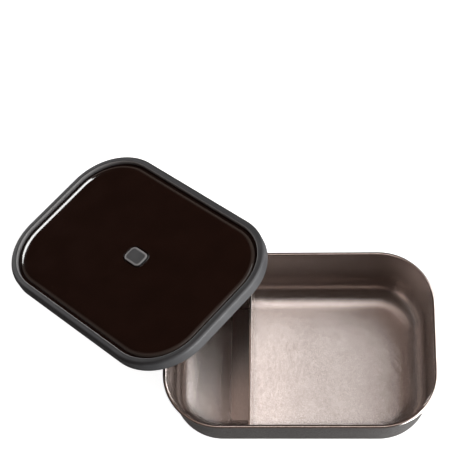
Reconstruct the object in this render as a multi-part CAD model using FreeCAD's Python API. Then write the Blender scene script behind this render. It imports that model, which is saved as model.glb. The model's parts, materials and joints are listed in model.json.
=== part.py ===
"""A steel lunch box with a loose divider, its lid taken off and leaning on the rim.

Millimetres. The origin is the centre of the tray's base, on the table: X along the tray, Y to its
back, Z up. The lid's pieces are made flat, from the plane of the seal's lower edge upwards, in
register with the tray's mouth, and are then laid where the open lid leans.
"""
import FreeCAD, Part
import math
import os
from FreeCAD import Vector

# Tray: one drawn sheet with a rim rolled outwards
mouth_length = 194.0        # inside the rim, along X
mouth_width = 130.5         # inside the rim, along Y
mouth_radius = 39.3         # plan radius of the mouth's corners
tray_height = 60.0
tray_sheet = 0.7
wall_draft = 3.8            # degrees that the walls lean out
base_radius = 18.4          # outside radius between wall and base
base_flats = 5              # flats that stand for it on the outside
bead_radius = 1.5           # of the rim, rolled tight against the wall

# Divider: a bent sheet with a folded top edge and a foot on the tray's floor
divider_x = -35.9           # its upright face towards the large compartment
divider_height = 50.0       # top edge above the table
divider_sheet = 0.7
divider_gap = 0.5           # to the tray's walls at both ends
hem_depth = 7.0
hem_gap = 0.3               # inside the fold
bend_radius = 1.0           # inside the bend above the foot
foot_reach = 16.8           # from the upright face to the foot's free edge
foot_corner = 2.5
foot_end_gap = 0.3          # from the foot's ends to where the floor begins to rise
seat_gap = 0.1              # under a loose piece that lies flat on another

# Seal: a soft ring with a channel for the rim below and a groove for the panel above
seal_height = 9.4
skirt_wall = 2.8            # outside the rim
rim_gap = 0.25              # channel to the rim, on both sides
channel_depth = 3.4
plug_wall = 2.0             # of the wall that goes inside the tray
web = 0.8                   # between the rim's channel and the panel's groove
crown_radius = 2.0          # top outer edge
lip_width = 5.55            # top face, outer edge to the lip round the panel
lip_chamfer = 0.6
round_flats = 3             # flats that stand for a rounded edge of a moulding

# Lid panel: a moulded plate with a flange that the seal grips
panel_rise = 2.6            # from the flange to the panel's flat top
panel_thickness = 2.2
border_run = 5.6            # plan width of the border that slopes from the flat to the shoulder
border_drop = 0.6
shoulder_gap = 2.5          # open groove between the panel's shoulder and the seal's lip
shoulder_radius = 1.7
rib_wall = 2.2              # of the rib under the panel's edge
flange_reach = 4.0          # past the shoulder
flange_thickness = 1.2
flange_gap = 0.1            # flange to its groove, above and at its end

# Vent plug: a soft cap in a recess of the panel, held by a barb below it
vent_length = 18.0          # along the lid's length
vent_width = 13.0
vent_radius = 4.0
vent_x = 2.6                # its centre on the lid
vent_proud = 0.8            # above the panel
vent_recess = 1.0
vent_margin = 1.2           # recess round the cap
recess_chamfer = 0.4
vent_edge = 0.6             # rounding of the cap's top
stem_radius = 3.0
stem_gap = 0.3
barb_radius = 4.2
barb_height = 2.0
barb_tip = 2.4              # radius of the barb's lower end
vent_travel = 2.4           # pull until the barb meets the panel
barb_gap = 0.3              # left between barb and panel at the end of the pull

# How the open lid lies
lean_heading = -41.3        # plan direction in which it rises, degrees from +X
lean_reach = 133.6          # in plan, from its low edge to the middle of the rim it leans on
lean_side = -10.7           # its centre line, to the left of that point of the rim
lean_gap = 0.3              # panel to rim


def flat(x, z):
    """A point of an upright section, x outwards and z up."""
    return Vector(x, 0, z)


def plan(x, y):
    """A point of an outline seen from above."""
    return Vector(x, y, 0)


def across(y, z):
    """A point of an upright section that runs across the tray."""
    return Vector(0, y, z)


def straights(points):
    """Straight edges through points, leaving out steps of no length."""
    steps = [pair for pair in zip(points, points[1:])
             if pair[0].distanceToPoint(pair[1]) > Part.Precision.confusion()]
    return [Part.LineSegment(*pair).toShape() for pair in steps]


def outline(corners, place=flat):
    """A face bounded by straight runs. A corner's third number rounds it, a fourth does so in flats."""
    bends = []
    for i, (first, second, *rounding) in enumerate(corners):
        here = place(first, second)
        back = (place(*corners[i - 1][:2]) - here).normalize()
        ahead = (place(*corners[(i + 1) % len(corners)][:2]) - here).normalize()
        if not rounding:
            bends.append([here])
            continue
        radius, flats = rounding if len(rounding) == 2 else (rounding[0], None)
        half = back.getAngle(ahead) / 2
        run = radius / math.tan(half)
        middle = here + (back + ahead).normalize() * (radius / math.sin(half) - radius)
        bend = Part.Arc(here + back * run, middle, here + ahead * run).toShape()
        bends.append(bend.discretize(flats + 1) if flats else bend)
    edges = []
    for bend, following in zip(bends, bends[1:] + bends[:1]):
        start = following[0] if isinstance(following, list) else following.firstVertex(True).Point
        if isinstance(bend, list):
            edges += straights(bend + [start])
        else:
            edges += [bend] + straights([bend.lastVertex(True).Point, start])
    return Part.Face(Part.Wire(edges))


def moved(shape, x=0.0, y=0.0, z=0.0):
    """A copy of a shape, shifted."""
    return shape.translated(Vector(x, y, z))


def joined(shapes):
    """One solid from solids that meet face to face."""
    return shapes[0].multiFuse(shapes[1:]).removeSplitter().Solids[0]


def carried_round(section, length, width, radius):
    """A section taken round a rounded rectangle, its x counted outwards from that line."""
    run_x = length / 2 - radius
    run_y = width / 2 - radius
    up = Vector(0, 0, 1)
    corner = moved(section, radius).revolve(Vector(), up, 90)
    pieces = []
    for quarter in range(4):
        run, reach = (run_y, run_x) if quarter % 2 == 0 else (run_x, run_y)
        straight = moved(section, reach + radius, -run).extrude(Vector(0, 2 * run, 0))
        for piece in (straight, moved(corner, reach, run)):
            piece.rotate(Vector(), up, 90 * quarter)
            pieces.append(piece)
    return joined(pieces)


def slab(length, width, radius, low, high):
    """A plate with a rounded rectangle for its outline."""
    x, y = length / 2, width / 2
    corners = [(-x, -y, radius), (x, -y, radius), (x, y, radius), (-x, y, radius)]
    return moved(outline(corners, plan), z=low).extrude(Vector(0, 0, high - low))


def mouth_slab(offset, low, high):
    """A plate whose outline follows the tray's mouth at an offset, outwards positive."""
    return slab(mouth_length + 2 * offset, mouth_width + 2 * offset, mouth_radius + offset, low, high)


def round_mouth(section):
    """A section taken round the tray's mouth."""
    return carried_round(section, mouth_length, mouth_width, mouth_radius)


# Section of the tray, its x counted outwards from the mouth
lean_out = math.radians(wall_draft)
inside_radius = base_radius - tray_sheet
rim_middle = tray_height - bead_radius
rim_low = tray_height - 2 * bead_radius
rim_step = math.radians(45)
rim_corner = bead_radius / math.cos(rim_step / 2)


def wall_at(z):
    """How far out from the mouth the straight of the tray's inner wall is at a height."""
    return (z - rim_middle) * math.tan(lean_out)


def tangent_run(radius):
    """From the corner of wall and floor to where a rounding of that radius ends."""
    return radius / math.tan(math.radians(90 + wall_draft) / 2)


floor_inset = tangent_run(inside_radius) - wall_at(tray_sheet)


def tray():
    """Floor, wall and rolled rim of one sheet; the rim's round is drawn as an octagon."""
    skin = tray_sheet / math.cos(lean_out)
    turns = [rim_step * (corner + 0.5) for corner in range(-2, 4)]
    rim = [(bead_radius + rim_corner * math.cos(a), rim_middle + rim_corner * math.sin(a)) for a in turns]
    wall = round_mouth(outline([
        (-floor_inset, 0),
        (wall_at(0) + skin, 0, base_radius, base_flats),
        (wall_at(rim_low) + skin, rim_low),
        *rim,
        (0, rim_middle),
        (wall_at(tray_sheet), tray_sheet, inside_radius),
        (-floor_inset, tray_sheet),
    ]))
    return joined([wall, mouth_slab(-floor_inset, 0, tray_sheet)])


def divider():
    """Upright sheet with a hem, bent below into a foot that is shorter than the sheet."""
    foot_low = tray_sheet + seat_gap
    foot_high = foot_low + divider_sheet
    bend_outer = bend_radius + divider_sheet
    bend_top = foot_low + bend_outer
    hem_outer = divider_sheet + hem_gap / 2
    back_x = divider_x - divider_sheet
    fold_x = back_x - hem_gap
    leg_x = fold_x - divider_sheet
    free_x = divider_x - foot_reach
    section = outline([
        (free_x, foot_low),
        (divider_x, foot_low, bend_outer),
        (divider_x, divider_height, hem_outer),
        (leg_x, divider_height, hem_outer),
        (leg_x, divider_height - hem_depth),
        (fold_x, divider_height - hem_depth),
        (fold_x, divider_height - divider_sheet, hem_gap / 2),
        (back_x, divider_height - divider_sheet, hem_gap / 2),
        (back_x, foot_high, bend_radius),
        (free_x, foot_high),
    ])
    sheet = moved(section, y=-mouth_width / 2).extrude(Vector(0, mouth_width, 0))

    ends_low = tray_sheet + divider_gap
    ends_radius = inside_radius - divider_gap
    slant_gap = divider_gap / math.cos(lean_out)
    low_y, high_y = (mouth_width / 2 + wall_at(z) - slant_gap for z in (ends_low, divider_height))
    ends = outline([
        (-low_y, ends_low, ends_radius),
        (low_y, ends_low, ends_radius),
        (high_y, divider_height),
        (-high_y, divider_height),
    ], across)
    upright = sheet.common(moved(ends, free_x).extrude(Vector(foot_reach, 0, 0)))
    below = Part.makeBox(foot_reach, mouth_width, bend_top, Vector(free_x, -mouth_width / 2, 0))

    foot_y = mouth_width / 2 - floor_inset - foot_end_gap
    foot_outline = outline([
        (free_x, -foot_y, foot_corner),
        (divider_x, -foot_y),
        (divider_x, foot_y),
        (free_x, foot_y, foot_corner),
    ], plan)
    foot = sheet.common(foot_outline.extrude(Vector(0, 0, bend_top)))
    return joined([upright.cut(below), foot])


# Sections of the lid, x counted outwards from the tray's mouth and z up from the seal's lower edge
skirt_in = 2 * bead_radius + rim_gap
seal_out = skirt_in + skirt_wall
groove_low = channel_depth + web
flange_top = groove_low + flange_thickness
lip = seal_out - lip_width
shoulder = lip - shoulder_gap
flange_out = shoulder + flange_reach
panel_top = flange_top + panel_rise
panel_low = panel_top - panel_thickness


def lid_seal():
    """Skirt and inner wall astride the rim, with the lip that holds the panel's flange above."""
    groove_top = flange_top + flange_gap
    groove_out = flange_out + flange_gap
    inner_wall = -rim_gap - plug_wall
    return round_mouth(outline([
        (inner_wall, 0),
        (-rim_gap, 0),
        (-rim_gap, channel_depth),
        (skirt_in, channel_depth),
        (skirt_in, 0),
        (seal_out, 0),
        (seal_out, seal_height, crown_radius, round_flats),
        (lip + lip_chamfer, seal_height),
        (lip, seal_height - lip_chamfer),
        (lip, groove_top),
        (groove_out, groove_top),
        (groove_out, groove_low),
        (inner_wall, groove_low),
    ]))


def lid_panel():
    """Plate with a sloping border and a shoulder, a flange on a rib, and the plug's recess and hole."""
    rib_in = shoulder - rib_wall
    border_in = shoulder - border_run
    rim = round_mouth(outline([
        (rib_in, groove_low),
        (flange_out, groove_low),
        (flange_out, flange_top),
        (shoulder, flange_top),
        (shoulder, panel_top - border_drop, shoulder_radius, round_flats),
        (border_in, panel_top),
        (border_in, panel_low),
        (rib_in, panel_low),
    ]))
    plate = joined([rim, mouth_slab(border_in, panel_low, panel_top)])
    recess = moved(slab(vent_length + 2 * vent_margin, vent_width + 2 * vent_margin,
                        vent_radius + vent_margin, panel_top - vent_recess, panel_top), vent_x)
    hole = moved(Part.makeCylinder(stem_radius + stem_gap, panel_top), vent_x)
    plate = plate.cut(recess).cut(hole)
    around = recess.BoundBox
    around.enlarge(recess_chamfer)
    recess_rim = [edge for edge in plate.Edges
                  if edge.BoundBox.ZMin > panel_top - recess_chamfer and around.isInside(edge.BoundBox)]
    return plate.makeChamfer(recess_chamfer, recess_rim)


def vent_plug():
    """Cap with a soft edge, on a stem that ends in a barb under the panel."""
    cap_low = panel_top - vent_recess + seat_gap
    cap_top = panel_top + vent_proud
    core = -vent_radius / 2
    edge = carried_round(outline([
        (core, cap_low),
        (0, cap_low),
        (0, cap_top, vent_edge, round_flats),
        (core, cap_top),
    ]), vent_length, vent_width, vent_radius)
    middle = slab(vent_length + 2 * core, vent_width + 2 * core, vent_radius + core, cap_low, cap_top)
    barb_top = panel_low - vent_travel - barb_gap
    barb_low = barb_top - barb_height
    stem = outline([
        (0, barb_low),
        (barb_tip, barb_low),
        (barb_radius, barb_top),
        (stem_radius, barb_top),
        (stem_radius, cap_low),
        (0, cap_low),
    ]).revolve(Vector(), Vector(0, 0, 1), 360)
    return moved(joined([edge, middle, stem]), vent_x)


def open_lid():
    """Where the lid lies: low edge on the table, panel on the rim at the tray's back left corner."""
    heading = math.radians(lean_heading)
    upwards = Vector(0, 0, 1)
    forth = Vector(math.cos(heading), math.sin(heading), 0)
    left = upwards.cross(forth)
    corner = Vector(mouth_radius - mouth_length / 2, mouth_width / 2 - mouth_radius, 0)
    support = corner - forth * (mouth_radius + bead_radius)

    depth = panel_low - rim_corner - lean_gap
    tilt = math.acos(depth / math.hypot(rim_middle, lean_reach)) - math.atan2(lean_reach, rim_middle)
    along = forth * math.cos(tilt) + upwards * math.sin(tilt)
    normal = along.cross(left)
    low_edge = support - forth * lean_reach + left * lean_side
    origin = low_edge + along * (mouth_length / 2 + seal_out)
    return FreeCAD.Placement(origin, FreeCAD.Rotation(along, left, normal, "ZXY"))


lid_place = open_lid()
os.makedirs("parts", exist_ok=True)
for make in (tray, divider):
    make().exportStep(f"parts/{make.__name__}.step")
for make in (lid_panel, lid_seal, vent_plug):
    make().transformed(lid_place.toMatrix()).exportStep(f"parts/{make.__name__}.step")
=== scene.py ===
# %% [markdown]
# A steel lunch box stands open on a pale table. A bent sheet divides its tray, and its lid, a dark panel
# in a soft grey ring, leans on the rolled rim. The solids come from CAD. Here they get smooth rounds and
# their finishes, in the same place and at the same size, and the CAD pieces stay in the scene, hidden.

# %% Load the imported part
import json
from math import asin, ceil, cos, degrees, pi, radians, sin, sqrt, tan

import bmesh
import bpy
import numpy as np
from mathutils import Matrix, Vector


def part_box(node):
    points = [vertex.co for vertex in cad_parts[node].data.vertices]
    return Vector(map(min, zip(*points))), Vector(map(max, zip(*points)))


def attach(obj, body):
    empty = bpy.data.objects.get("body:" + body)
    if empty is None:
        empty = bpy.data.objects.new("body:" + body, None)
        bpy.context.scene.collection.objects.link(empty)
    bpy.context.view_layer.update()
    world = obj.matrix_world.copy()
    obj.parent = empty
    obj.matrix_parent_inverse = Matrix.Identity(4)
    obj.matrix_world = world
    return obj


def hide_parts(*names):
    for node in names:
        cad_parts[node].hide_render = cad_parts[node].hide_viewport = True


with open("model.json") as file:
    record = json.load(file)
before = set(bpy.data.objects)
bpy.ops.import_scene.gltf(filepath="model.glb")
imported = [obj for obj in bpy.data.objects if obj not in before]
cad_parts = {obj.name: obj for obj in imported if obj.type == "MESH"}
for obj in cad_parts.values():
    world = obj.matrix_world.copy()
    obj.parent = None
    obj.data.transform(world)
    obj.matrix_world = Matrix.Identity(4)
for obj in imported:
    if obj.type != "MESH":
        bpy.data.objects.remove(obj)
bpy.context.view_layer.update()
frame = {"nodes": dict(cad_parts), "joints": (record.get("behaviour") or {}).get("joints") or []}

scene = bpy.context.scene

# %% [markdown]
# Shapes are drawn in millimetres, as a maker would, and are scaled to Blender's metres when they are put
# in place. What the frame already knows is measured there: the tray's box gives the mouth once the rim's
# width is taken off both sides.

# %% Measure the tray
METRES = 0.001
bead_radius = 1.5
rim_width = 2 * bead_radius
tray_low, tray_high = (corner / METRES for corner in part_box("tray"))
mouth_length = tray_high.x - tray_low.x - 2 * rim_width
mouth_width = tray_high.y - tray_low.y - 2 * rim_width
mouth_radius = 39.3
tray_height = tray_high.z
print(f"mouth {mouth_length:.1f} x {mouth_width:.1f} mm, tray {tray_height:.1f} mm high")

# %% [markdown]
# The picture is a long-lens view from above and in front. The camera's place and turn were found by
# fitting the tray's rim and the lid's edge to the picture. Three angles say it best: where it heads, how
# steeply it looks down and how far it is tipped about its own line of sight.

# %% Camera
camera_place = Vector((14.28, -399.65, 1181.64)) * METRES
camera_heading = radians(-8.193)
camera_dip = radians(66.173)
camera_tip = radians(7.921)
camera_lens = 129.892

level_right = Vector((cos(camera_heading), -sin(camera_heading), 0))
sight = Vector((sin(camera_heading) * cos(camera_dip),
                cos(camera_heading) * cos(camera_dip),
                -sin(camera_dip)))
level_up = level_right.cross(sight)
right = level_right * cos(camera_tip) - level_up * sin(camera_tip)
up = level_up * cos(camera_tip) + level_right * sin(camera_tip)
camera_data = bpy.data.cameras.new("camera")
camera_data.lens = camera_lens
camera = bpy.data.objects.new("camera", camera_data)
camera.matrix_world = Matrix.Translation(camera_place) @ Matrix((right, up, -sight)).transposed().to_4x4()
scene.collection.objects.link(camera)
scene.camera = camera
print("camera looks along", [round(part, 3) for part in sight])

# %% [markdown]
# Node trees are written as Python sums. A Wire is one output socket: arithmetic on it adds Math nodes, and
# its node method adds any other node, settings first and sockets after, by name or by number.

# %% A wire for node trees
class Wire:
    """An output socket of a node tree, or only the tree where a chain of nodes starts."""

    def __init__(self, tree, socket=None):
        self.tree = tree
        self.socket = socket

    def node(self, kind, settings=None, inputs=None, output=0):
        """Adds a node and gives one of its outputs, or the node itself where it has none."""
        made = self.tree.nodes.new(kind)
        for name, value in (settings or {}).items():
            setattr(made, name, value)
        for key, value in (inputs or {}).items():
            if isinstance(value, Wire):
                self.tree.links.new(value.socket, made.inputs[key])
            else:
                made.inputs[key].default_value = value
        return Wire(self.tree, made.outputs[output]) if len(made.outputs) else made

    def math(self, operation, first, second):
        return self.node("ShaderNodeMath", {"operation": operation}, {0: first, 1: second})

    def __add__(self, other):
        return self.math("ADD", self, other)

    def __sub__(self, other):
        return self.math("SUBTRACT", self, other)

    def __rsub__(self, other):
        return self.math("SUBTRACT", other, self)

    def __mul__(self, other):
        return self.math("MULTIPLY", self, other)

    __radd__ = __add__
    __rmul__ = __mul__


print("wire ready")

# %% [markdown]
# Six small helpers serve every finish. A cloud is plain noise, and streaks are noise drawn out along one
# direction, as an abrasive belt leaves them. Both read Object coordinates, so they stay on the piece. A
# ramp turns a height or a noise into a soft mask, and a blend goes from one colour to another. A mark is a
# number that was drawn with the piece's section, and says where painted light goes: a painted highlight,
# a painted reflection, or painted shade on the outer side of the tray's sheet. A relief presses a pattern
# into the surface as a bump.

# %% Patterns for the finishes
def object_place(tree):
    """Where a point is on its piece, in metres."""
    return Wire(tree).node("ShaderNodeTexCoord", output="Object")


def cloud(place, scale, detail=2.0):
    """Noise with about this many changes to the metre."""
    return place.node("ShaderNodeTexNoise", None, {"Vector": place, "Scale": scale, "Detail": detail})


def streaks(place, stretch, detail=3.0):
    """Noise with about this many changes to the metre along X, Y and Z."""
    drawn = place.node("ShaderNodeVectorMath", {"operation": "MULTIPLY"}, {0: place, 1: stretch})
    return cloud(drawn, 1.0, detail)


def ramp(value, low, high):
    """A soft step, from 0 at the low value to 1 at the high one."""
    settings = {"interpolation_type": "SMOOTHSTEP"}
    return value.node("ShaderNodeMapRange", settings, {"Value": value, "From Min": low, "From Max": high})


def blend(amount, first, second):
    """From one colour to another. The node's socket names repeat, so they are given by number."""
    settings = {"data_type": "RGBA"}
    return amount.node("ShaderNodeMix", settings, {0: amount, 6: first, 7: second}, output=2)


def mark(place):
    """Where the piece's section puts painted light: how much at this point, from 0 to 1."""
    return place.node("ShaderNodeAttribute", {"attribute_name": "mark"}, output="Fac")


def relief(place, height, depth, strength=1.0):
    """A normal for the shader: this pattern, pressed this deep into the surface."""
    return place.node("ShaderNodeBump", None, {"Strength": strength, "Distance": depth, "Height": height})


def finish(name):
    """A new material: its tree and its shader, to be given sockets."""
    material = bpy.data.materials.new(name)
    material.use_nodes = True
    return material, material.node_tree, material.node_tree.nodes["Principled BSDF"]


def feed(tree, shader, **sockets):
    """Sets the shader's sockets, a word's underscore standing for a space."""
    for name, value in sockets.items():
        socket = shader.inputs[name.replace("_", " ")]
        if isinstance(value, Wire):
            tree.links.new(value.socket, socket)
        else:
            socket.default_value = value


print("patterns ready")

# %% [markdown]
# The tray and its divider are stainless sheet with a satin brush. On the floor the grain runs from front
# to back; up the walls it runs round. Both are streaks, and a mask by height changes from one to the
# other inside the rounding. Much finer grooves, as a bump, spread the light across the grain, which
# roughness alone would do in all directions. The outside of the tray is painted darker, as painted shade,
# where the mark says a point is on the outer side of the sheet. The divider's sheet is smoother, so it gets
# shallower grooves.

# %% Brushed steel
LIGHT_STEEL = (0.682, 0.62, 0.592, 1)
DARK_STEEL = (0.62, 0.56, 0.532, 1)
# Painted shade: darker copies of the same steel for the tray's outside, which is one sheet with its inside.
PAINTED_SHADE_STEEL = (0.36, 0.342, 0.334, 1)
PAINTED_SHADE_STEEL_DARK = (0.28, 0.265, 0.258, 1)
FLOOR_ENDS = 0.8 * METRES
WALL_BEGINS = 8 * METRES
GRAIN_ACROSS, GRAIN_ALONG = 2200, 30
GROOVE_ACROSS, GROOVE_ALONG = 9000, 1500
SPECKLE = (1000, 380, 1000)
GRAIN_SHARE, SPECKLE_SHARE = 0.4, 0.6
TONE_RANGE = 0.32, 0.68
WALL_GROOVES = 0.3
GRAIN_DULLS = 0.06
WALL_SHINES = 0.06


def brushed_steel(name, satin, groove):
    """Steel with this roughness on the level parts and grooves of this depth in metres."""
    material, tree, shader = finish(name)
    place = object_place(tree)
    height = place.node("ShaderNodeSeparateXYZ", None, {0: place}, output="Z")
    on_wall = ramp(height, FLOOR_ENDS, WALL_BEGINS)
    floor_grain = streaks(place, (GRAIN_ACROSS, GRAIN_ALONG, GRAIN_ALONG))
    wall_grain = streaks(place, (GRAIN_ALONG, GRAIN_ALONG, GRAIN_ACROSS))
    grain = floor_grain * (1 - on_wall) + wall_grain * on_wall
    floor_grooves = streaks(place, (GROOVE_ACROSS, GROOVE_ALONG, GROOVE_ALONG), detail=1.0)
    wall_grooves = streaks(place, (GROOVE_ALONG, GROOVE_ALONG, GROOVE_ACROSS), detail=1.0)
    grooves = floor_grooves * (1 - on_wall) + WALL_GROOVES * wall_grooves * on_wall
    tone = ramp(GRAIN_SHARE * grain + SPECKLE_SHARE * streaks(place, SPECKLE), *TONE_RANGE)
    inner = blend(tone, DARK_STEEL, LIGHT_STEEL)
    # Painted shade: the outer side of the sheet takes the darker colours.
    outer = blend(tone, PAINTED_SHADE_STEEL_DARK, PAINTED_SHADE_STEEL)
    feed(tree, shader, Base_Color=blend(mark(place), inner, outer), Metallic=1.0,
         Roughness=satin + GRAIN_DULLS * grain - WALL_SHINES * on_wall, Normal=relief(place, grooves, groove))
    return material


steel = brushed_steel("brushed_steel", satin=0.2, groove=0.00012)
bright_steel = brushed_steel("bright_steel", satin=0.26, groove=0.00002)
print("finishes:", steel.name, bright_steel.name, len(steel.node_tree.nodes), "nodes")

# %% [markdown]
# The lid's panel is a glossy dark moulding, almost black with some brown in it. Its gloss is even, so only
# a faint cloud changes its colour and its roughness. Its shoulder is painted paler where the mark says so: a
# painted reflection of the faint light that the rounded edge catches.

# %% Dark gloss panel
PANEL_BROWN = (0.019, 0.0068, 0.0042, 1)
PANEL_BLACK = (0.0155, 0.0056, 0.0035, 1)
# Painted reflection: the paler colour that the panel's shoulder gets.
PANEL_PAINTED_REFLECTION = (0.07, 0.053, 0.045, 1)
HAZE_SCALE, HAZE_DETAIL = 45, 4
HAZE_RANGE = 0.3, 0.7
PANEL_GLOSS = 0.06
HAZE_DULLS = 0.04


def dark_gloss():
    material, tree, shader = finish("dark_gloss")
    place = object_place(tree)
    haze = ramp(cloud(place, HAZE_SCALE, HAZE_DETAIL), *HAZE_RANGE)
    # Painted reflection on the marked shoulder.
    colour = blend(mark(place), blend(haze, PANEL_BLACK, PANEL_BROWN), PANEL_PAINTED_REFLECTION)
    feed(tree, shader, Base_Color=colour, Roughness=PANEL_GLOSS + HAZE_DULLS * haze)
    return material


panel_gloss = dark_gloss()
print("finish:", panel_gloss.name)

# %% [markdown]
# The ring and the plug are moulded silicone: matt, dark grey and very slightly pebbled, with a little
# lint that makes it paler in places. A fine bump breaks its highlights up. On the ring's lip and the
# plug's edge the mark turns it pale: a painted highlight along those rounded edges.

# %% Grey silicone
SILICONE_GREY = (0.05, 0.051, 0.0545, 1)
SILICONE_PALE = (0.066, 0.0675, 0.0715, 1)
# Painted highlight: the pale colour of the ring's lip and the plug's edge.
SILICONE_PAINTED_HIGHLIGHT = (0.38, 0.38, 0.385, 1)
PEBBLE_SCALE = 2600
PEBBLE_DEPTH = 0.0001
PEBBLE_STRENGTH = 0.2
LINT_SCALE, LINT_DETAIL = 70, 5
LINT_RANGE = 0.4, 0.75
SILICONE_MATT = 0.45
PEBBLES_DULL = 0.1


def grey_silicone():
    material, tree, shader = finish("grey_silicone")
    place = object_place(tree)
    pebbles = cloud(place, PEBBLE_SCALE)
    lint = ramp(cloud(place, LINT_SCALE, LINT_DETAIL), *LINT_RANGE)
    # Painted highlight where the mark is set.
    colour = blend(mark(place), blend(lint, SILICONE_GREY, SILICONE_PALE), SILICONE_PAINTED_HIGHLIGHT)
    feed(tree, shader, Base_Color=colour, Roughness=SILICONE_MATT + PEBBLES_DULL * pebbles,
         Normal=relief(place, pebbles, PEBBLE_DEPTH, PEBBLE_STRENGTH))
    return material


silicone = grey_silicone()
print("finish:", silicone.name)

# %% [markdown]
# Nearly every piece is a section taken round a rounded rectangle: wall and rim, ring, panel edge, plug.
# So one Geometry Nodes tree makes them all. The object holds the section as a line, x outwards, y down.
# The tree draws the rectangle, rounds its corners and carries the section along it.

# %% A tree that takes a section round a rounded rectangle
def round_tree():
    """The tree, with the section, the rectangle's sizes and the finish as its inputs."""
    tree = bpy.data.node_groups.new("section_round_rectangle", "GeometryNodeTree")
    sockets = {"Section": "NodeSocketGeometry", "Length": "NodeSocketFloat", "Width": "NodeSocketFloat",
               "Radius": "NodeSocketFloat", "Corner Steps": "NodeSocketInt", "Finish": "NodeSocketMaterial"}
    for name, kind in sockets.items():
        tree.interface.new_socket(name, in_out="INPUT", socket_type=kind)
    tree.interface.new_socket("Piece", in_out="OUTPUT", socket_type="NodeSocketGeometry")
    given = tree.nodes.new("NodeGroupInput")
    wires = {name: Wire(tree, given.outputs[name]) for name in sockets}
    start = Wire(tree)
    path = start.node("GeometryNodeCurvePrimitiveQuadrilateral", None,
                      {"Width": wires["Length"], "Height": wires["Width"]})
    path = start.node("GeometryNodeFilletCurve", {"mode": "POLY"},
                      {"Curve": path, "Count": wires["Corner Steps"], "Radius": wires["Radius"]})
    path = start.node("GeometryNodeSetCurveNormal", {"mode": "Z_UP"}, {"Curve": path})
    profile = start.node("GeometryNodeMeshToCurve", None, {"Mesh": wires["Section"]})
    skin = start.node("GeometryNodeCurveToMesh", None, {"Curve": path, "Profile Curve": profile})
    skin = start.node("GeometryNodeRealizeInstances", None, {"Geometry": skin})
    skin = start.node("GeometryNodeSetMaterial", None, {"Geometry": skin, "Material": wires["Finish"]})
    start.node("NodeGroupOutput", None, {"Piece": skin})
    return tree


section_round = round_tree()
print("tree inputs:", [item.name for item in section_round.interface.items_tree])

# %% [markdown]
# A section is a short list of corners. A corner's third number is its radius, and the helper turns it into
# small steps, so a round reads as a round and its size is written once. The second helper runs the tree
# on a section and hands back a plain mesh, with nothing live left on it. Marks, one to a point of the
# section, travel with it as an attribute.

# %% From section to mesh
ARC_STEP = radians(5)
LEAST_STEPS = 3
CORNER_STEPS = 28


def rounded(corners):
    """Points along a section. Each corner is (x, z) or (x, z, radius)."""
    points = []
    for i, (x, z, *radius) in enumerate(corners):
        here = Vector((x, z))
        if not radius:
            points.append(here)
            continue
        back = (Vector(corners[i - 1][:2]) - here).normalized()
        ahead = (Vector(corners[(i + 1) % len(corners)][:2]) - here).normalized()
        half = back.angle(ahead) / 2
        centre = here + (back + ahead).normalized() * radius[0] / sin(half)
        first = (here + back * radius[0] / tan(half) - centre).normalized()
        last = (here + ahead * radius[0] / tan(half) - centre).normalized()
        steps = max(LEAST_STEPS, ceil(first.angle(last) / ARC_STEP))
        points += [centre + radius[0] * first.slerp(last, step / steps) for step in range(steps + 1)]
    return points


def taken_round(points, size, material, closed=False, marks=None):
    """A plain mesh: the section taken round a rectangle of (length, width, corner radius)."""
    line = bpy.data.meshes.new("section")
    edges = [(i, i + 1) for i in range(len(points) - 1)]
    if closed:
        edges.append((len(points) - 1, 0))
    line.from_pydata([(x, -z, 0) for x, z in points], edges, [])
    if marks:
        line.attributes.new("mark", "FLOAT", "POINT").data.foreach_set("value", marks)
    carrier = bpy.data.objects.new("section", line)
    scene.collection.objects.link(carrier)
    modifier = carrier.modifiers.new("round", "NODES")
    modifier.node_group = section_round
    values = dict(zip(("Length", "Width", "Radius"), size))
    values |= {"Corner Steps": CORNER_STEPS, "Finish": material}
    for item in section_round.interface.items_tree:
        if item.name in values:
            modifier[item.identifier] = values[item.name]
    bpy.context.view_layer.update()
    depsgraph = bpy.context.evaluated_depsgraph_get()
    mesh = bpy.data.meshes.new_from_object(carrier.evaluated_get(depsgraph), preserve_all_data_layers=True,
                                           depsgraph=depsgraph)
    carrier.modifiers.remove(modifier)
    bpy.data.objects.remove(carrier)
    return mesh


print("arc steps of", round(degrees(ARC_STEP)), "degrees,", CORNER_STEPS, "steps to a corner")

# %% [markdown]
# Sweeps leave loops open where a piece is flat: the tray's floor, the panel's face. All open loops at one
# height bound one flat face, with or without holes, so the next helper fills them height by height. It
# welds the sweeps, turns the normals outwards and marks hard edges. Another puts the mesh in its place.

# %% Closing a piece and putting it on its body
WELD = 0.001
LEVEL_DIGITS = 2
HARD_EDGE = radians(38)


def level_of(edge):
    """The height of an edge, to the hundredth of a millimetre."""
    return round(edge.verts[0].co.z, LEVEL_DIGITS)


def closed_up(sweeps):
    """One closed mesh from sweeps, welded and its open loops filled flat, and a count of its leaks."""
    shape = bmesh.new()
    for sweep in sweeps:
        shape.from_mesh(sweep)
    bmesh.ops.remove_doubles(shape, verts=shape.verts, dist=WELD)
    for face in shape.faces:
        face.smooth = True
    rims = [edge for edge in shape.edges if edge.is_boundary]
    for height in sorted({level_of(edge) for edge in rims}):
        level = [edge for edge in rims if level_of(edge) == height]
        bmesh.ops.triangle_fill(shape, use_beauty=True, edges=level)
    bmesh.ops.recalc_face_normals(shape, faces=shape.faces)
    leaks = sum(not edge.is_manifold for edge in shape.edges)
    mesh = bpy.data.meshes.new("closed")
    shape.to_mesh(mesh)
    shape.free()
    mesh.set_sharp_from_angle(angle=HARD_EDGE)
    return mesh, leaks


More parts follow.
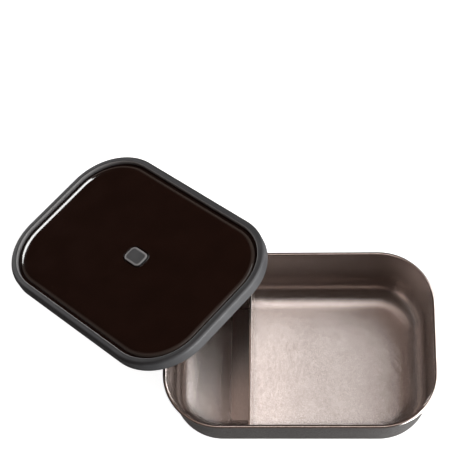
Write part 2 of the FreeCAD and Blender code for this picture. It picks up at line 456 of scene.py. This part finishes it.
def put(name, mesh, material, body, place=Matrix()):
    """Scales a mesh to metres, lays it in place and lets it stand for the CAD node of its name."""
    mesh.transform(place @ Matrix.Scale(METRES, 4))
    mesh.materials.clear()
    mesh.materials.append(material)
    piece = bpy.data.objects.new(f"{name}_skin", mesh)
    scene.collection.objects.link(piece)
    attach(piece, body)
    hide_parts(name)
    return piece


def grown(offset):
    """Length, width and corner radius of the mouth's outline, moved outwards."""
    return mouth_length + 2 * offset, mouth_width + 2 * offset, mouth_radius + offset


print("welding within", WELD, "mm")

# %% [markdown]
# The tray is deep-drawn from one sheet: a flat floor, a generous rounding, a wall with a little draft, and
# a rim rolled outwards until it meets the wall again. The section starts at the floor inside, goes over
# the rim and ends under the base, so both sides of the sheet are there and the edge of the roll shows.
# The outside is marked for painted shade, a darker colour, and so is the roll's outer half below its crest.

# %% Tray
tray_sheet = 0.7
wall_draft = radians(3.8)
base_radius = 18.4
inside_radius = base_radius - tray_sheet
rim_middle = tray_height - bead_radius
rim_low = rim_middle - bead_radius
BEAD_STEPS = 40
FLAT_BORDER = 3.0


def wall_at(z):
    """How far out from the mouth the straight of the inner wall is at a height."""
    return (z - rim_middle) * tan(wall_draft)


floor_inset = inside_radius / tan((pi / 2 + wall_draft) / 2) - wall_at(tray_sheet)


def rolled_rim():
    """Points of the roll, from the inner wall over the top to where it meets the outer wall."""
    first = pi - wall_draft
    last = -pi / 2 - asin((bead_radius - tray_sheet) / bead_radius)
    turns = [first + (last - first) * step / BEAD_STEPS for step in range(BEAD_STEPS + 1)]
    return [Vector((bead_radius + bead_radius * cos(turn), rim_middle + bead_radius * sin(turn)))
            for turn in turns]


def tray_mesh():
    skin = tray_sheet / cos(wall_draft)
    border = -floor_inset - FLAT_BORDER
    inside = rounded([
        (border, tray_sheet),
        (wall_at(tray_sheet), tray_sheet, inside_radius),
        (0, rim_middle),
    ])[:-1] + rolled_rim()
    outside = rounded([
        (wall_at(rim_low) + skin, rim_low),
        (wall_at(0) + skin, 0, base_radius),
        (border, 0),
    ])
    # Painted shade: the outside and the roll's outer half below its crest take the darker outer colour.
    dark = [float(x > bead_radius and z < rim_middle + bead_radius / 2) for x, z in inside]
    dark += [1.0] * len(outside)
    return closed_up([taken_round(inside + outside, grown(0), steel, marks=dark)])


tray_skin, tray_leaks = tray_mesh()
tray = put("tray", tray_skin, steel, "tray")
print("tray:", len(tray.data.polygons), "faces,", tray_leaks, "open edges")

# %% [markdown]
# The divider is a strip of the same sheet, bent at the foot and folded over at the top so that no sharp
# edge is left. Its ends follow the tray's walls with a little play, and the foot is shorter, because it
# lies on the flat of the floor. The strip is laid out row by row along its middle line, each row as wide
# as the tray allows there, and Solidify gives it the thickness of the sheet. Last, the outside of the fold
# is pressed nearly square: its round becomes a superellipse of a high power.

# %% Divider
divider_low, divider_high = (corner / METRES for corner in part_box("divider"))
divider_sheet = 0.7
hem_gap = 0.3
hem_depth = 7.0
bend_radius = 1.0
foot_corner = 2.5
foot_end_gap = 0.3
end_play = 0.6
ROW_STEP = 1.0
PRESS_POWER = 12
middle = divider_sheet / 2


def inside_at(z):
    """How far out from the mouth the tray's inner side is at a height, the rounding included."""
    if z > tray_sheet + inside_radius * (1 - sin(wall_draft)):
        return wall_at(z)
    return sqrt(inside_radius ** 2 - (tray_sheet + inside_radius - z) ** 2) - floor_inset


def stations(points):
    """The same line with its long runs divided."""
    rows = [points[0]]
    for start, end in zip(points, points[1:]):
        steps = max(1, ceil((end - start).length / ROW_STEP))
        rows += [start.lerp(end, step / steps) for step in range(1, steps + 1)]
    return rows


def divider_rows(fold):
    """Points along the middle of the sheet, from the foot's free edge to the end of the hem."""
    foot_z = divider_low.z + middle
    upright_x = divider_high.x - middle
    top_z = divider_high.z - middle
    return stations(rounded([
        (divider_low.x, foot_z),
        (upright_x, foot_z, bend_radius + middle),
        (upright_x, top_z, fold),
        (upright_x - 2 * fold, top_z, fold),
        (upright_x - 2 * fold, divider_high.z - hem_depth),
    ]))


def strip_mesh(rows):
    """The sheet without thickness: a row of points across it at each station."""
    bend_top = divider_low.z + bend_radius + divider_sheet
    foot_half = mouth_width / 2 - floor_inset - foot_end_gap
    strip = bmesh.new()
    before = None
    for x, z in rows:
        from_end = min(x - divider_low.x, foot_corner)
        half = foot_half - foot_corner + sqrt(foot_corner ** 2 - (foot_corner - from_end) ** 2)
        ys = [-half, half]
        if z >= bend_top - WELD:
            ear = mouth_width / 2 + inside_at(z) - end_play
            ys = [-ear, -half, half, ear]
        row = [strip.verts.new((x, y, z)) for y in ys]
        if before:
            paired = before if len(before) == len(row) else [None] + before + [None]
            for left in range(len(row) - 1):
                if paired[left] and paired[left + 1]:
                    strip.faces.new((paired[left], paired[left + 1], row[left + 1], row[left]))
        before = row
    mesh = bpy.data.meshes.new("divider")
    strip.to_mesh(mesh)
    strip.free()
    return mesh


def thickened(mesh):
    """A plain mesh of the sheet with its thickness, half to each side."""
    carrier = bpy.data.objects.new("divider_strip", mesh)
    scene.collection.objects.link(carrier)
    thick = carrier.modifiers.new("sheet", "SOLIDIFY")
    thick.thickness = divider_sheet
    thick.offset = 0
    thick.use_even_offset = True
    bpy.context.view_layer.update()
    solid = bpy.data.meshes.new_from_object(carrier.evaluated_get(bpy.context.evaluated_depsgraph_get()))
    bpy.data.objects.remove(carrier)
    return solid


def pressed(mesh, fold):
    """Squares the outside of the fold, as a press leaves it."""
    centre = Vector((divider_high.x - middle - fold, divider_high.z - middle - fold))
    for vertex in mesh.vertices:
        out = Vector((vertex.co.x, vertex.co.z)) - centre
        if out.y > 0 and out.length > fold:
            side, rise = abs(out.x) / out.length, out.y / out.length
            spread = (side ** PRESS_POWER + rise ** PRESS_POWER) ** (-1 / PRESS_POWER)
            vertex.co.x, vertex.co.z = centre + out * spread


def divider_mesh():
    fold = (hem_gap + divider_sheet) / 2
    solid = thickened(strip_mesh(divider_rows(fold)))
    pressed(solid, fold)
    return closed_up([solid])


divider_skin, divider_leaks = divider_mesh()
divider = put("divider", divider_skin, bright_steel, "divider")
print("divider:", len(divider.data.polygons), "faces,", divider_leaks, "open edges")

# %% [markdown]
# The lid's pieces are drawn lying flat, in register with the tray's mouth, and are then tilted as one. The
# frame tells how the lid leans: its plug is pulled along the lid's normal, so that joint's axis is the
# normal. The low edge is level, so the other two axes follow, and measuring the ring along all three
# gives its place.

# %% How the lid leans
pull = next(joint for joint in frame["joints"] if joint["name"] == "vent_pull")
lid_normal = Vector(pull["axis"]).normalized()
lid_left = Vector((lid_normal.y, -lid_normal.x, 0)).normalized()
lid_along = lid_left.cross(lid_normal)
lid_axes = np.array((lid_along, lid_left, lid_normal))
ring_points = np.array([vertex.co for vertex in frame["nodes"]["lid_seal"].data.vertices]) @ lid_axes.T
ring_low, ring_high = ring_points.min(0), ring_points.max(0)
lid_middle = lid_axes.T @ ((ring_low[0] + ring_high[0]) / 2, (ring_low[1] + ring_high[1]) / 2, ring_low[2])
lid_place = Matrix.Translation(lid_middle) @ Matrix(lid_axes.tolist()).transposed().to_4x4()
lid_tilt = lid_normal.angle(Vector((0, 0, 1)))
print(f"lid tilted {degrees(lid_tilt):.1f} degrees, centre {lid_middle / METRES} mm")

# %% [markdown]
# The ring is one soft moulding. Below it has a channel that sits astride the tray's rim, inside it a
# groove that grips the panel's flange, and on top a lip that frames the panel. Its section is a closed
# loop, with the rounds that a mould needs. The lip's edge is marked for a painted highlight.

# %% Sealing ring
skirt_wall = 2.8
rim_gap = 0.25
channel_depth = 3.4
plug_wall = 2.0
web = 0.8
flange_thickness = 1.2
flange_reach = 4.0
flange_gap = 0.1
shoulder_gap = 2.5
lip_width = 5.55
crown_radius = 2.5
lip_radius = 1.4
soft_edge = 0.35
seal_height = (ring_high[2] - ring_low[2]) / METRES
skirt_in = rim_width + rim_gap
seal_out = skirt_in + skirt_wall
inner_wall = -rim_gap - plug_wall
lip = seal_out - lip_width
groove_low = channel_depth + web
flange_top = groove_low + flange_thickness
shoulder = lip - shoulder_gap
flange_out = shoulder + flange_reach


def ring_mesh():
    groove_top = flange_top + flange_gap
    groove_out = flange_out + flange_gap
    section = rounded([
        (inner_wall, 0, soft_edge),
        (-rim_gap, 0, soft_edge),
        (-rim_gap, channel_depth, soft_edge),
        (skirt_in, channel_depth, soft_edge),
        (skirt_in, 0, soft_edge),
        (seal_out, 0, soft_edge),
        (seal_out, seal_height, crown_radius),
        (lip, seal_height, lip_radius),
        (lip, groove_top),
        (groove_out, groove_top),
        (groove_out, groove_low),
        (inner_wall, groove_low, soft_edge),
    ])
    # Painted highlight along the lip's rounded inner edge.
    painted_highlight = [float(x < lip + lip_radius / 2 and z > seal_height - lip_radius) for x, z in section]
    return closed_up([taken_round(section, grown(0), silicone, closed=True, marks=painted_highlight)])


ring_skin, ring_leaks = ring_mesh()
ring = put("lid_seal", ring_skin, silicone, "lid", lid_place)
print("ring:", len(ring.data.polygons), "faces,", ring_leaks, "open edges")

# %% [markdown]
# The panel is a thin plate on a rib that ends in the flange. Its border slopes down, steeper over the last
# bit, to a rounded shoulder that is marked for a painted reflection, a paler colour. Two more sweeps belong
# to it: the recess that the plug sits in, with a softened brim, and the hole for its stem. A circle is only a
# rectangle whose corners take up all of it, so the same tree makes the hole.

# %% Lid panel
panel_rise = 2.6
panel_thickness = 2.2
border_run = 5.6
border_drop = 0.6
border_radius = 14.0
bevel_run = 3.0
bevel_drop = 0.3
shoulder_radius = 1.7
rib_wall = 2.2
vent_length = 18.0
vent_width = 13.0
vent_radius = 4.0
vent_x = 2.6
vent_recess = 1.0
vent_margin = 1.2
brim_radius = 0.4
recess_fillet = 0.3
stem_radius = 3.0
stem_gap = 0.3
panel_top = flange_top + panel_rise
panel_low = panel_top - panel_thickness
recess_floor = panel_top - vent_recess
VENT_PLACE = Matrix.Translation((vent_x, 0, 0))


def circle(radius):
    """The size that makes the rounded rectangle a circle."""
    return 2 * radius, 2 * radius, radius


def at_vent(sweeps):
    """The same sweeps, moved from the lid's middle to where the plug is."""
    for sweep in sweeps:
        sweep.transform(VENT_PLACE)
    return sweeps


def panel_mesh():
    rib_in = shoulder - rib_wall
    border_in = shoulder - border_run
    edge = rounded([
        (border_in - FLAT_BORDER, panel_top),
        (border_in, panel_top, border_radius),
        (shoulder - bevel_run, panel_top - border_drop * (1 - bevel_run / border_run)),
        (shoulder, panel_top - border_drop - bevel_drop, shoulder_radius),
        (shoulder, flange_top),
        (flange_out, flange_top),
        (flange_out, groove_low),
        (rib_in, groove_low),
        (rib_in, panel_low),
    ])
    # Painted reflection: the shoulder's rounding, above the groove, takes the paler colour.
    painted_reflection = [float(x > shoulder - shoulder_radius and z > flange_top + flange_gap) for x, z in edge]
    recess = rounded([
        (vent_margin, panel_top),
        (0, panel_top, brim_radius),
        (0, recess_floor, recess_fillet),
        (-vent_margin, recess_floor),
    ])
    brim = vent_length + 2 * vent_margin, vent_width + 2 * vent_margin, vent_radius + vent_margin
    hole = [Vector((0, recess_floor)), Vector((0, panel_low))]
    inner = at_vent([taken_round(recess, brim, panel_gloss),
                     taken_round(hole, circle(stem_radius + stem_gap), panel_gloss)])
    return closed_up([taken_round(edge, grown(0), panel_gloss, marks=painted_reflection)] + inner)


panel_skin, panel_leaks = panel_mesh()
panel = put("lid_panel", panel_skin, panel_gloss, "lid", lid_place)
print("panel:", len(panel.data.polygons), "faces,", panel_leaks, "open edges")

# %% [markdown]
# The plug lets air in so that the lid comes off: a soft cap in the recess, on a stem that ends in a barb
# below the panel. Cap and stem are two sweeps of the same tree, and the flat between them is filled. The
# rounded edge of the cap is marked for a painted highlight.

# %% Vent plug
vent_proud = 0.8
vent_edge = 0.7
seat_gap = 0.1
vent_travel = 2.4
barb_gap = 0.3
barb_radius = 4.2
barb_tip = 2.4
barb_height = 2.0


def plug_mesh():
    cap_low = recess_floor + seat_gap
    cap_top = panel_top + vent_proud
    barb_top = panel_low - vent_travel - barb_gap
    barb_low = barb_top - barb_height
    core = -vent_radius / 2
    cap = rounded([(core, cap_top), (0, cap_top, vent_edge), (0, cap_low), (core, cap_low)])
    # Painted highlight along the cap's rounded top edge.
    painted_highlight = [float(x > -vent_edge and z > cap_top - vent_edge / 2) for x, z in cap]
    stem = [(stem_radius, cap_low), (stem_radius, barb_top), (barb_radius, barb_top), (barb_tip, barb_low)]
    stem = [Vector((x - stem_radius, z)) for x, z in stem]
    return closed_up(at_vent([
        taken_round(cap, (vent_length, vent_width, vent_radius), silicone, marks=painted_highlight),
        taken_round(stem, circle(stem_radius), silicone),
    ]))


plug_skin, plug_leaks = plug_mesh()
plug = put("vent_plug", plug_skin, silicone, "vent_plug", lid_place)
print("plug:", len(plug.data.polygons), "faces,", plug_leaks, "open edges")

# %% [markdown]
# The table is plain and pale. It is two sheets, one just above the other: a white one that only the camera
# sees, and a greyer one that the light and the steel see, so that the outer wall doesn't mirror pure white.

# %% Table
FLOOR_SIZE = 8.0
FLOOR_DROP = 0.0003
FLOOR_WHITE = (0.9, 0.9, 0.9, 1)
FLOOR_GREY = (0.42, 0.42, 0.42, 1)
FLOOR_GLOW = 0.95
FLOOR_MATT = 0.9
WHITE = (1, 1, 1, 1)


def sheet(name, colour, glow, height):
    """A large plain sheet that lies level, with a glow of its own."""
    material, tree, shader = finish(name)
    feed(tree, shader, Base_Color=colour, Roughness=FLOOR_MATT, Specular_IOR_Level=0.0,
         Emission_Color=WHITE, Emission_Strength=glow)
    half = FLOOR_SIZE / 2
    mesh = bpy.data.meshes.new(name)
    corners = [(x, y, height) for x, y in ((-half, -half), (half, -half), (half, half), (-half, half))]
    mesh.from_pydata(corners, [], [(0, 1, 2, 3)])
    mesh.materials.append(material)
    floor = bpy.data.objects.new(name, mesh)
    scene.collection.objects.link(floor)
    return floor


seen_table = sheet("seen_table", FLOOR_WHITE, FLOOR_GLOW, -FLOOR_DROP)
seen_table.visible_glossy = False
seen_table.visible_diffuse = False
seen_table.visible_shadow = False
lit_table = sheet("lit_table", FLOOR_GREY, 0.0, -2 * FLOOR_DROP)
lit_table.visible_camera = False
print("table sheets:", seen_table.name, lit_table.name)

# %% [markdown]
# Polished steel shows its surroundings, so the lights are placed for what mirrors them. A high panel at
# the right is what the tray's floor shows, through its grooves. A raised panel at the right lights the
# walls, and two low ones, at the right and at the front right, light the ring's raised side. A low one at
# the back left draws the white line along the panel's edge. The room itself is dim and brown, paler
# overhead, with a lamp right above that draws the line on the front rim.

# %% Light
ROOM_WALLS = (0.045, 0.033, 0.028, 1)
ROOM_CEILING = (0.38, 0.27, 0.23, 1)
ROOM_LAMP = (2.2, 2.0, 1.9, 1)
CEILING_EDGE = 0.88, 0.97
LAMP_EDGE = 0.984, 0.996


def room():
    """The dim room that the steel mirrors: brown walls, a paler ceiling and a lamp overhead."""
    world = bpy.data.worlds.new("room")
    world.use_nodes = True
    tree = world.node_tree
    direction = Wire(tree).node("ShaderNodeTexCoord", output="Generated")
    height = direction.node("ShaderNodeSeparateXYZ", None, {0: direction}, output="Z")
    colour = blend(ramp(height, *CEILING_EDGE), ROOM_WALLS, ROOM_CEILING)
    colour = blend(ramp(height, *LAMP_EDGE), colour, ROOM_LAMP)
    feed(tree, tree.nodes["Background"], Color=colour)
    return world


def soft_light(name, place, aim, size, brightness):
    """A soft box: an area light of (width, height) that shows this brightness."""
    data = bpy.data.lights.new(name, "AREA")
    data.shape = "RECTANGLE"
    data.size, data.size_y = size
    data.energy = brightness * pi * size[0] * size[1]
    lamp = bpy.data.objects.new(name, data)
    lamp.location = place
    lamp.rotation_euler = (Vector(aim) - Vector(place)).to_track_quat("-Z", "Y").to_euler()
    scene.collection.objects.link(lamp)


soft_light("light_right", place=(1.2, 0.2, 0.87), aim=(0, 0.2, 0.87), size=(1.8, 0.74), brightness=2.4)
soft_light("light_low", place=(1.15, -0.1, 0.1), aim=(0, -0.1, 0.1), size=(1.2, 0.18), brightness=12.0)
soft_light("light_front", place=(0.9, -0.8, 0.11), aim=(0, 0, 0.11), size=(0.6, 0.2), brightness=42.0)
soft_light("light_high", place=(0.85, 0.33, 1.28), aim=(0, 0.33, 0), size=(1.54, 0.7), brightness=3.1)
soft_light("light_back", place=(-1.14, 1.14, 0.15), aim=(-0.1, 0.1, 0.05), size=(0.56, 0.24), brightness=14.0)
scene.world = room()
scene.view_settings.view_transform = "Standard"
